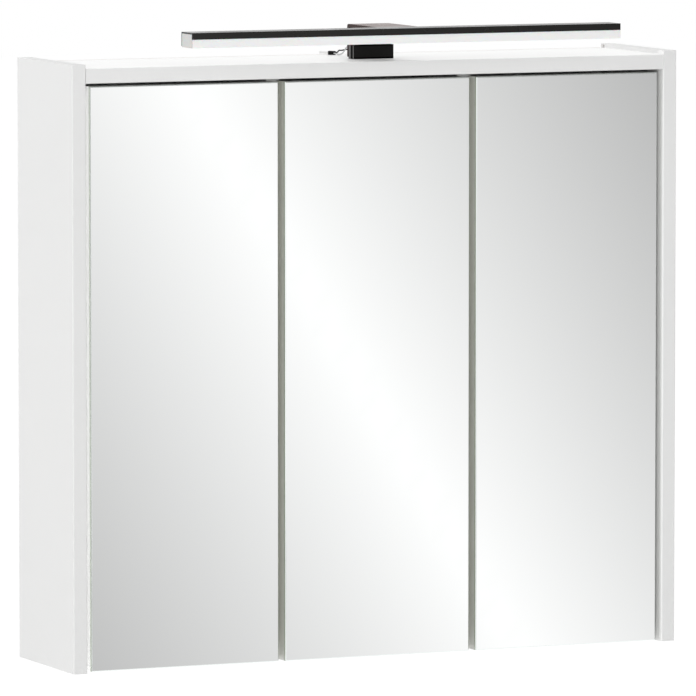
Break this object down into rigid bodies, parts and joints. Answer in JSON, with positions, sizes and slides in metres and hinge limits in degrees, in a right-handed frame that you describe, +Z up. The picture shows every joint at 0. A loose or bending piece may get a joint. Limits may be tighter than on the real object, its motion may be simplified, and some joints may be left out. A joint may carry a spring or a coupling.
{
  "type": "medicine cabinet with mirror",
  "caption": "Wall-hung white mirror cabinet with mirror-fronted doors on concealed hinges, glass shelves and a black LED surface lamp on a bent arm.",
  "frame": {"origin": "centre of the footprint of cabinet and lamp together, on the plane under the side panels' lower edges", "axes": "+X across the cabinet towards its right side seen from the front, +Y from the doors to the wall, +Z up"},
  "size_m": [0.7, 0.202, 0.673],
  "materials": {
    "white_board": "satin white melamine on particle board",
    "white_panel": "white lacquered fibreboard",
    "mirror_glass": "silvered glass with polished edges",
    "shelf_glass": "clear glass with polished edges",
    "hinge_nickel": "nickel-plated pressed steel",
    "hinge_steel": "ground steel",
    "screw_zinc": "zinc-plated steel",
    "plate_zinc": "zinc-plated sheet",
    "screw_black": "black oxide",
    "dowel_wood": "plain beech",
    "pin_plastic": "clear moulded plastic",
    "buffer_rubber": "soft translucent pad",
    "lamp_profile": "black anodised",
    "lamp_diffuser": "opal acrylic",
    "led_board": "white solder mask",
    "led_chip": "yellow phosphor",
    "lamp_bracket": "gloss black",
    "lamp_foot": "satin black",
    "lead_rubber": "matt black",
    "lead_grey": "grey insulation",
    "lead_black": "black insulation",
    "connector_body": "matt black",
    "connector_tip": "pale moulded plastic"
  },
  "bodies": {
    "carcass": {"side_panel_left": "white_board", "side_panel_right": "white_board", "top_board": "white_board", "bottom_board": "white_board", "divider_left": "white_board", "divider_right": "white_board", "back_panel": "white_panel", "hinge_arms_left": "hinge_nickel", "mounting_plates_left": "hinge_nickel", "shelf_left_low": "shelf_glass", "shelf_left_high": "shelf_glass", "hinge_arms_middle": "hinge_nickel", "mounting_plates_middle": "hinge_nickel", "shelf_middle_low": "shelf_glass", "shelf_middle_high": "shelf_glass", "hinge_arms_right": "hinge_nickel", "mounting_plates_right": "hinge_nickel", "shelf_right_low": "shelf_glass", "shelf_right_high": "shelf_glass", "hinge_arm_screws": "screw_zinc", "mounting_plate_screws": "screw_zinc", "hanging_screws": "screw_zinc", "cam_housings": "screw_zinc", "cam_bolts": "screw_zinc", "dowels": "dowel_wood", "shelf_pins": "pin_plastic", "door_buffers": "buffer_rubber", "hanging_plates": "plate_zinc", "lamp_housing": "lamp_profile", "lamp_diffuser": "lamp_diffuser", "led_board": "led_board", "led_chips": "led_chip", "lamp_bracket": "lamp_bracket", "lamp_foot": "lamp_foot", "lamp_bracket_screws": "screw_black", "lamp_foot_screws": "screw_zinc", "lead_grommet": "lead_rubber", "lead_grey": "lead_grey", "lead_black": "lead_black", "connector_body": "connector_body", "connector_tip": "connector_tip"},
    "door_left": {"door_left": "white_board", "mirror_left": "mirror_glass", "hinge_cups_left": "hinge_nickel", "hinge_pins_left": "hinge_steel", "cup_screws_left": "screw_zinc"},
    "door_middle": {"door_middle": "white_board", "mirror_middle": "mirror_glass", "hinge_cups_middle": "hinge_nickel", "hinge_pins_middle": "hinge_steel", "cup_screws_middle": "screw_zinc"},
    "door_right": {"door_right": "white_board", "mirror_right": "mirror_glass", "hinge_cups_right": "hinge_nickel", "hinge_pins_right": "hinge_steel", "cup_screws_right": "screw_zinc"}
  },
  "joints": [
    {"name": "door_left_hinge", "type": "hinge", "parent": "carcass", "child": "door_left", "pos_m": [-0.3199, -0.0415, 0.3089], "axis": [0, 0, -1], "range_deg": [0, 95]},
    {"name": "door_middle_hinge", "type": "hinge", "parent": "carcass", "child": "door_middle", "pos_m": [-0.09837, -0.0415, 0.3089], "axis": [0, 0, -1], "range_deg": [0, 95]},
    {"name": "door_right_hinge", "type": "hinge", "parent": "carcass", "child": "door_right", "pos_m": [0.3199, -0.0415, 0.3089], "axis": [0, 0, 1], "range_deg": [0, 95]}
  ]
}
